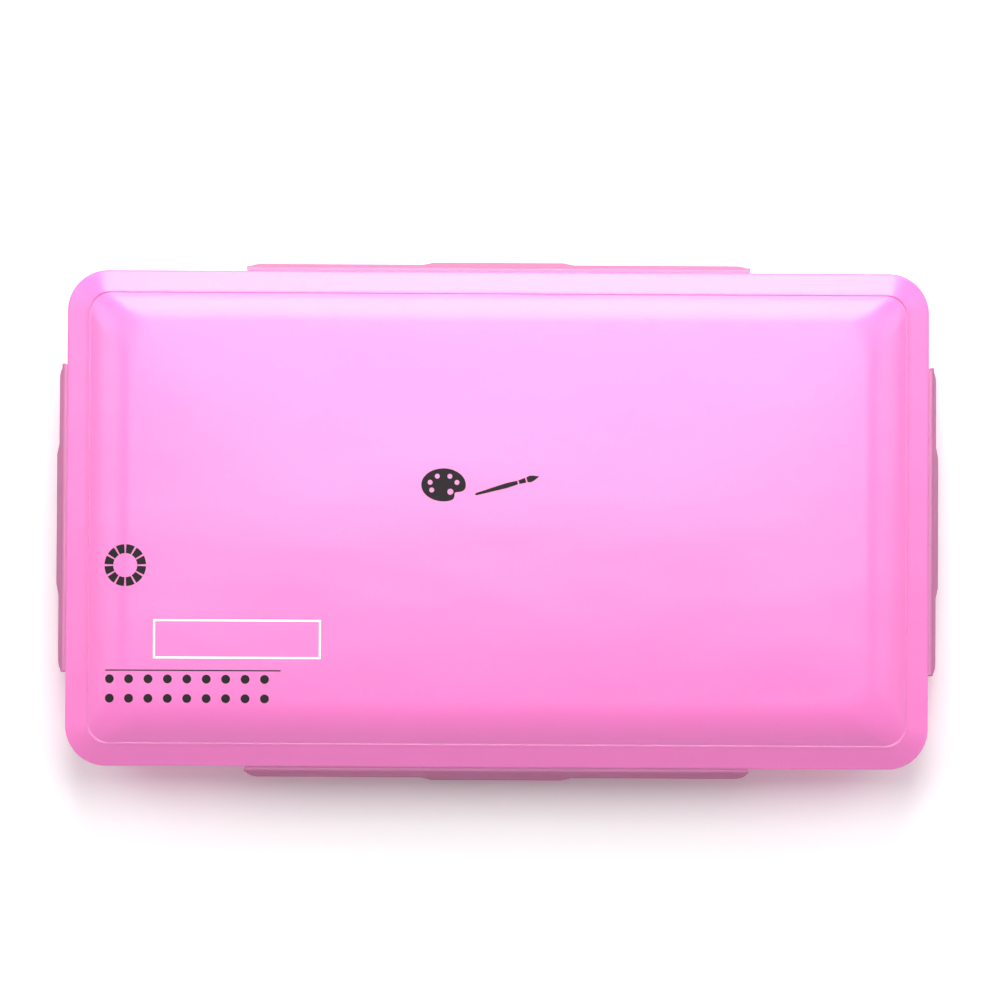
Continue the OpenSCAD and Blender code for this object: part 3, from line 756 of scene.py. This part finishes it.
def slackened(mesh, seed):
    """Lets a film sag and wrinkle inside its seal, and marks where it is sealed."""
    shift = random.Random(1000 + seed).uniform(0, 90)
    sealed = mesh.attributes.new("sealed", "FLOAT", "POINT")
    for vertex, mark in zip(mesh.vertices, sealed.data):
        x, y = vertex.co.x / MM, vertex.co.y / MM
        to_edge = min(FILM_SIZE[0] / 2 - abs(x), FILM_SIZE[1] / 2 - abs(y)) - SEAL_WIDTH
        mark.value = 0.0 if to_edge > 0.1 else 1.0
        slack = max(0, to_edge)
        sag = FILM_SAG * (1 - math.exp(-slack / 7))
        crease = noise.noise(Vector((x * 0.09 + shift, y * 0.22, shift))) * min(1, slack / 3)
        vertex.co.z -= (sag + FILM_WRINKLE * crease) * MM
    return mesh


film_clear = lidding_film()
for index, name in enumerate(cup_names):
    film = shell(f"{name}_film", film_line(), FILM_SIZE,
                 lambda inset: CUP_CORNER + CUP_FLANGE - FILM_MARGIN - inset, film_clear, 6, 6)
    film_piece = link_mesh(f"{name}_film", at_cup(slackened(film, index), index))
    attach(film_piece, name)

# ---- Gasket ----
# A moulded ring of soft silicone, pushed up into a channel in the lid. Its foot is narrower, so
# that it beds down on the tray's rim when the clips pull the lid shut.

GASKET_INSET, GASKET_WIDTH, SEAL_GAP, CHANNEL_DEPTH = 4.3, 3.0, 1.6, 1.5


def moulded_silicone():
    """Translucent white silicone: a soft dull sheen, a little dust, and light that soaks in."""
    material, tree = new_material("moulded_silicone_rubber")
    place = add(tree, "ShaderNodeTexCoord").outputs["Object"]
    # Dust that rubber gathers, in flecks drawn at 0.7 mm so that they show
    dust = add(tree, "ShaderNodeTexNoise", {"Vector": place, "Scale": 1400.0, "Detail": 2.0})
    fleck = ranged(tree, dust, 0.62, 0.75)
    tone = mixed(tree, fleck, linear("#EDE9E6"), linear("#FAF9F8"))
    rough = ranged(tree, dust, 0, 1, 0.45, 0.65)
    bump = add(tree, "ShaderNodeBump", {"Height": dust, "Strength": 0.1, "Distance": 0.0002})
    skin = add(tree, "ShaderNodeBsdfPrincipled", {
        "Base Color": tone, "Roughness": rough, "IOR": 1.41, "Normal": bump,
        "Subsurface Weight": 0.4, "Subsurface Radius": (1.0, 0.95, 0.9),
        "Subsurface Scale": 0.002,
    })
    add(tree, "ShaderNodeOutputMaterial", {"Surface": skin})
    return material


def gasket_line():
    """The gasket's closed section: a block in the channel above a narrower foot with round lips."""
    quarter = GASKET_WIDTH / 4
    low, neck, high = RIM_TOP, RIM_TOP + SEAL_GAP, RIM_TOP + SEAL_GAP + CHANNEL_DEPTH
    outer, inner = GASKET_INSET, GASKET_INSET + GASKET_WIDTH
    line = (
        arc((outer + 0.3, high - 0.3), 0.3, 90, 180, 3)
        + [(outer, neck)]
        + arc((outer + quarter + 0.4, low + 0.4), 0.4, 190, 270, 3)
        + arc((inner - quarter - 0.4, low + 0.4), 0.4, 270, 350, 3)
        + [(inner, neck)]
        + arc((inner - 0.3, high - 0.3), 0.3, 0, 90, 3)
    )
    return line + line[:1]


gasket_piece = link_mesh("gasket_ring", shell(
    "gasket_ring", gasket_line(), (LID_LENGTH, LID_WIDTH), lambda inset: LID_CORNER - inset,
    moulded_silicone(), 12, 8))
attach(gasket_piece, "lid")
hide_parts("lid_gasket")

# ---- Lid ----
# One injection moulding in pink polypropylene. A sloped rim band runs round it; a soft valley
# parts the band from a rounded shoulder, which rises to a nearly flat top.

LID_WALL = 2.0
LID_UNDER, SKIRT_FOOT, LID_EDGE = 31.6, 26.6, 1.5
BAND_WIDTH, BAND_SLOPE = 8.0, 28.0
VALLEY_RADIUS = 8.0
SHOULDER_WIDTH, SHOULDER_SLOPE = 17.0, 42.0
CROWN_SLOPE, CROWN_CORNER = 2.0, 14.0
CHANNEL_INSET, CHANNEL_WIDTH, CHANNEL_RIB = 4.2, 3.2, 1.0
SHOULDER_STEPS, CROWN_STEPS = 22, 10


def sine(angle):
    return math.sin(math.radians(angle))


def cosine(angle):
    return math.cos(math.radians(angle))


def edge_drop(depth):
    """How far below the band's edge a point lies that is as deep from the band as from the side."""
    return depth * (1 / cosine(BAND_SLOPE) - math.tan(math.radians(BAND_SLOPE)))


BAND_EDGE = LID_UNDER + edge_drop(LID_WALL)
VALLEY_HEIGHT = BAND_EDGE + BAND_WIDTH * math.tan(math.radians(BAND_SLOPE))
SHOULDER_INSET = BAND_WIDTH + SHOULDER_WIDTH
SHOULDER_RADIUS = SHOULDER_WIDTH / (sine(SHOULDER_SLOPE) - sine(CROWN_SLOPE))
CROWN_START = VALLEY_HEIGHT + SHOULDER_RADIUS * (cosine(CROWN_SLOPE) - cosine(SHOULDER_SLOPE))
CROWN_RUN = LID_WIDTH / 2 - SHOULDER_INSET
CROWN_RADIUS = CROWN_RUN / sine(CROWN_SLOPE)


def valley_point(offset):
    """A point off the valley line, as far from the band's surface as from the shoulder's."""
    lean = (BAND_SLOPE + SHOULDER_SLOPE) / 2
    reach = offset / cosine((SHOULDER_SLOPE - BAND_SLOPE) / 2)
    return BAND_WIDTH - reach * sine(lean), VALLEY_HEIGHT + reach * cosine(lean)


def dome_line(depth):
    """Inset and height from the middle of the lid out to the valley, at a depth in the wall."""
    crown = arc((LID_WIDTH / 2, CROWN_START - CROWN_RADIUS * cosine(CROWN_SLOPE)),
                CROWN_RADIUS - depth, 90, 90 + CROWN_SLOPE, CROWN_STEPS)
    shoulder = arc(
        (SHOULDER_INSET + SHOULDER_RADIUS * sine(CROWN_SLOPE),
         CROWN_START - SHOULDER_RADIUS * cosine(CROWN_SLOPE)),
        SHOULDER_RADIUS - depth, 90 + CROWN_SLOPE, 90 + SHOULDER_SLOPE, SHOULDER_STEPS)
    return crown[:-1] + shoulder[:-1]


def lid_line():
    """The lid's section, out over the top, round the skirt and back underneath."""
    channel_end = CHANNEL_INSET + CHANNEL_WIDTH
    roof = LID_UNDER + CHANNEL_DEPTH
    return (
        dome_line(0)
        + arc(valley_point(VALLEY_RADIUS), VALLEY_RADIUS,
              270 + SHOULDER_SLOPE, 270 + BAND_SLOPE, 5)
        + arc((LID_EDGE, BAND_EDGE - edge_drop(LID_EDGE)), LID_EDGE, 90 + BAND_SLOPE, 180, 6)
        + arc((SMALL_EDGE, SKIRT_FOOT + SMALL_EDGE), SMALL_EDGE, 180, 270, 3)
        + arc((LID_WALL - SMALL_EDGE, SKIRT_FOOT + SMALL_EDGE), SMALL_EDGE, 270, 360, 3)
        + arc((LID_WALL + 0.5, LID_UNDER - 0.5), 0.5, 180, 90, 3)
        + [(CHANNEL_INSET, LID_UNDER), (CHANNEL_INSET, roof), (channel_end, roof)]
        + [(channel_end, LID_UNDER), (channel_end + CHANNEL_RIB, LID_UNDER)]
        + [valley_point(-LID_WALL)]
        + dome_line(LID_WALL)[::-1]
    )


def lid_corner(inset):
    """The lid's corner radius at an inset: even as far as the valley, then opening out."""
    if inset <= BAND_WIDTH:
        return LID_CORNER - inset
    share = min(1, (inset - BAND_WIDTH) / SHOULDER_WIDTH)
    return LID_CORNER - BAND_WIDTH + (CROWN_CORNER - LID_CORNER + BAND_WIDTH) * share


lid_plastic = moulded_pink("satin_moulded_polypropylene_lid", "#FA76C3", "#F972C1", 0.29, 0.5)
lid_mesh = shell("lid_shell", lid_line(), (LID_LENGTH, LID_WIDTH), lid_corner, lid_plastic, 20, 12)
lid_piece = link_mesh("lid_shell", lid_mesh)
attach(lid_piece, "lid")
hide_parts("lid")

# ---- Print on the lid ----
# Pad-printed inks, a few hundredths of a millimetre thick: a dark palette and brush in the middle,
# and at the left a ring, a white name field, a rule and two rows of dots, one for each cup.

INK_THICKNESS, INK_LIFT = 0.05, 0.03
INK_STEP = 1.5  # a longer edge is cut in half, so that the print follows the lid's crown
INK_HALVINGS = 5  # rounds of that, which leave edges of about 2 mm in the longest rule
PALETTE_PLACE, PALETTE_SIZE = (-20.6, 12.7), (8.5, 6.3)
WELL_RING, WELL_RADIUS, THUMB_HOLE = (5.3, 3.7), 0.95, ((2.6, -2.6), 1.15)
BRUSH_PLACE, BRUSH_TURN = (3.6, 12.6), 16
WHEEL_PLACE, WHEEL_SIZE, WHEEL_PARTS = (-141.8, -18.5), (4.6, 8.0), 12
FIELD_PLACE, FIELD_SIZE, FIELD_LINE = (-99.0, -46.5), (64.0, 15.0), 0.8
RULE_PLACE, RULE_SIZE = (-115.8, -58.5), (67.0, 0.45)
DOTS_PLACE, DOT_RADIUS, DOT_SPACING = (-118.0, -65.5), 1.7, 7.4

lid_surface = BVHTree.FromPolygons(
    [vertex.co for vertex in lid_mesh.vertices], [face.vertices for face in lid_mesh.polygons])


def pad_ink(name, colour, worn_colour):
    """Pad-printing ink for polypropylene: thin, opaque and matt, with pinholes and soft wear."""
    material, tree = new_material(name)
    place = add(tree, "ShaderNodeTexCoord").outputs["Object"]
    # Pinholes and thin spots, drawn at 0.5 mm so that they show
    pinholes = add(tree, "ShaderNodeTexNoise", {"Vector": place, "Scale": 1900.0, "Detail": 2.0})
    thin = ranged(tree, pinholes, 0.60, 0.80)
    tone = mixed(tree, thin, linear(colour), linear(worn_colour))
    rough = ranged(tree, pinholes, 0, 1, 0.55, 0.70)
    bump = add(tree, "ShaderNodeBump", {"Height": pinholes, "Strength": 0.1, "Distance": 0.0001})
    skin = add(tree, "ShaderNodeBsdfPrincipled", {
        "Base Color": tone, "Roughness": rough, "IOR": 1.5, "Normal": bump,
        "Specular IOR Level": 0.2})
    add(tree, "ShaderNodeOutputMaterial", {"Surface": skin})
    return material


def filled(name, outlines, material):
    """A flat patch from closed outlines in mm; an outline inside another is a hole."""
    curve = bpy.data.curves.new(name, "CURVE")
    curve.dimensions = "2D"
    curve.fill_mode = "BOTH"
    for outline in outlines:
        spline = curve.splines.new("POLY")
        spline.points.add(len(outline) - 1)
        for point, (x, y) in zip(spline.points, outline):
            point.co = (x * MM, y * MM, 0, 1)
        spline.use_cyclic_u = True
    return coated(finished(link_mesh(name, curve)), material)


def printed(name, mesh, place):
    """Lays a flat patch on the lid as a film of ink, which rides on the lid."""
    work = bmesh.new()
    work.from_mesh(mesh)
    bmesh.ops.remove_doubles(work, verts=work.verts, dist=1e-6)
    bmesh.ops.translate(work, verts=work.verts, vec=Vector((*place, 0)) * MM)
    for _ in range(INK_HALVINGS):
        long_edges = [edge for edge in work.edges if edge.calc_length() > INK_STEP * MM]
        bmesh.ops.subdivide_edges(work, edges=long_edges, cuts=1)
        bmesh.ops.triangulate(work, faces=work.faces)
    for vertex in work.verts:
        spot = lid_surface.ray_cast(Vector((vertex.co.x, vertex.co.y, 1)), Vector((0, 0, -1)))[0]
        vertex.co.z = spot.z + INK_LIFT * MM
    lower = bmesh.ops.extrude_face_region(work, geom=work.faces[:])["geom"]
    lower = [item for item in lower if isinstance(item, bmesh.types.BMVert)]
    bmesh.ops.translate(work, verts=lower, vec=(0, 0, -INK_THICKNESS * MM))
    work.to_mesh(mesh)
    work.free()
    piece = link_mesh(name, outward(mesh))
    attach(piece, "lid")


def circle(centre, radius, steps=32):
    return arc(centre, radius, 0, 360 - 360 / steps, steps - 1)


def rectangle(size, inset=0.0):
    x, y = size[0] / 2 - inset, size[1] / 2 - inset
    return [(-x, -y), (x, -y), (x, y), (-x, y)]


def palette_outline():
    """The rounded outline of a painter's palette, with a dent beside the thumb hole."""
    points = []
    for step in range(72):
        angle = math.tau * step / 72
        dent = 0.30 * math.exp(-((math.degrees(angle) - 318) / 15) ** 2)
        points.append((PALETTE_SIZE[0] * (1 - dent) * math.cos(angle),
                       PALETTE_SIZE[1] * (1 - dent) * math.sin(angle)))
    return points


def brush_outlines():
    """A round brush in three parts, from its handle's end to its tip, turned to lie aslant."""
    handle = [(-12.8, 0.0), (-12.2, 0.45), (0.0, 0.95), (4.2, 0.7)]
    ferrule = [(4.7, 0.75), (7.4, 0.95)]
    hair = [(7.9, 0.95), (9.2, 1.3), (10.6, 0.95), (12.8, 0.0)]
    outlines = []
    for half in (handle, ferrule, hair):
        outline = half + [(x, -y) for x, y in reversed(half) if y]
        outlines.append([
            (x * cosine(BRUSH_TURN) - y * sine(BRUSH_TURN),
             x * sine(BRUSH_TURN) + y * cosine(BRUSH_TURN)) for x, y in outline])
    return outlines


def wheel_part(index):
    """One part of a colour wheel, with a thin gap to the next."""
    inner, outer = WHEEL_SIZE
    start, end = 360 / WHEEL_PARTS * index + 3, 360 / WHEEL_PARTS * (index + 1) - 3
    return arc((0, 0), outer, start, end, 4) + arc((0, 0), inner, end, start, 4)


dark_ink = pad_ink("dark_pad_printing_ink", "#1C171B", "#3A2A34")
white_ink = pad_ink("white_pad_printing_ink", "#FFFFFF", "#FBE9F5")
wells = [circle((WELL_RING[0] * cosine(angle), WELL_RING[1] * sine(angle)), WELL_RADIUS)
         for angle in (15, 63, 117, 165, 212)]
printed("palette_sign", filled("palette_sign", [
    palette_outline(), circle(*THUMB_HOLE), *wells], dark_ink), PALETTE_PLACE)
printed("brush_sign", filled("brush_sign", brush_outlines(), dark_ink), BRUSH_PLACE)
printed("colour_wheel", filled("colour_wheel", [
    wheel_part(index) for index in range(WHEEL_PARTS)], dark_ink), WHEEL_PLACE)
printed("name_field", filled("name_field", [
    rectangle(FIELD_SIZE), rectangle(FIELD_SIZE, FIELD_LINE)], white_ink), FIELD_PLACE)
printed("rule", filled("rule", [rectangle(RULE_SIZE)], dark_ink), RULE_PLACE)
dots = shaped(link_mesh("dots", filled("dot", [circle((0, 0), DOT_RADIUS, 20)], dark_ink)),
              rows_of_pieces, dark_ink, {
    "Columns": 9, "Rows": 2, "Column spacing": DOT_SPACING * MM, "Row spacing": DOT_SPACING * MM,
})
printed("colour_dots", dots, DOTS_PLACE)

# ---- Hinge webs ----
# Each clip hangs from the lid by a living hinge: a strip of the lid's own plastic thinned to
# 0.4 mm, moulded in one with both, that pales a little where it bends. Here each web is one fixed
# strip, attached to neither the lid nor its clip.

WEB_TOP = 31.62  # 0.02 mm over the lid's hinge lip, so that the two don't share a face
CLIP_LENGTHS = {"front": 193, "back": 193, "left": 118, "right": 118}


def hinge_line():
    """The web's outline of (y, z): out of the lid's side, over the hinge and down into the clip."""
    upper = [(-0.5, WEB_TOP), (0.2, WEB_TOP), (0.5, WEB_TOP)] + arc((0.75, 31.0), 0.62, 80, 10, 5)
    lower = [(1.0, 31.0)] + arc((0.62, 31.0), 0.22, 20, 80, 3) + [(0.2, 31.24), (-0.5, 31.2)]
    return upper + lower


web_plastic = moulded_pink("thinned_polypropylene_hinge", "#F487C8", "#F28FCB", 0.38, 0.3, 0.3)
for side in SIDES:
    web = prism(f"hinge_web_{side}", hinge_line(), CLIP_LENGTHS[side] - 0.6, 0.03, web_plastic)
    web_piece = link_mesh(f"hinge_web_{side}", at_side(web, side))
    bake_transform(web_piece)

# ---- Clips ----
# Four snap clips, moulded in one with the lid in the same polypropylene but thinner, so that they
# let some light through. Their colour is painted darker and duller than the lid's: painted shade,
# for the shade that they sit in under the lid's edge. Each has two windows that catch on the
# tray's lugs.

CLIP_EDGE = 0.22
# Painted shade: the clips' colours are darker than the lid's, though it is the same plastic.
clip_plastic_painted_shade = moulded_pink("thin_polypropylene_clip_painted_shade", "#DE78B4", "#D873AE", 0.34, 0.2, 0.5)
for side in SIDES:
    node = f"clip_{side}"
    work = bmesh.new()
    work.from_mesh(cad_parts[node].data)
    bmesh.ops.remove_doubles(work, verts=work.verts, dist=1e-6)
    bmesh.ops.dissolve_limit(work, angle_limit=math.radians(1), verts=work.verts, edges=work.edges)
    clip_mesh = bpy.data.meshes.new(f"{node}_moulding")
    work.to_mesh(clip_mesh)
    work.free()
    clip_mesh.materials.append(clip_plastic_painted_shade)
    clip_piece = link_mesh(f"{node}_moulding", clip_mesh)
    rounding = clip_piece.modifiers.new("edges", "BEVEL")
    rounding.width = CLIP_EDGE * MM
    rounding.segments = 3
    rounding.limit_method = "ANGLE"
    rounding.angle_limit = math.radians(35)
    clip_piece = link_mesh(f"{node}_moulding", outward(finished(clip_piece)))
    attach(clip_piece, node)
    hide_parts(node)
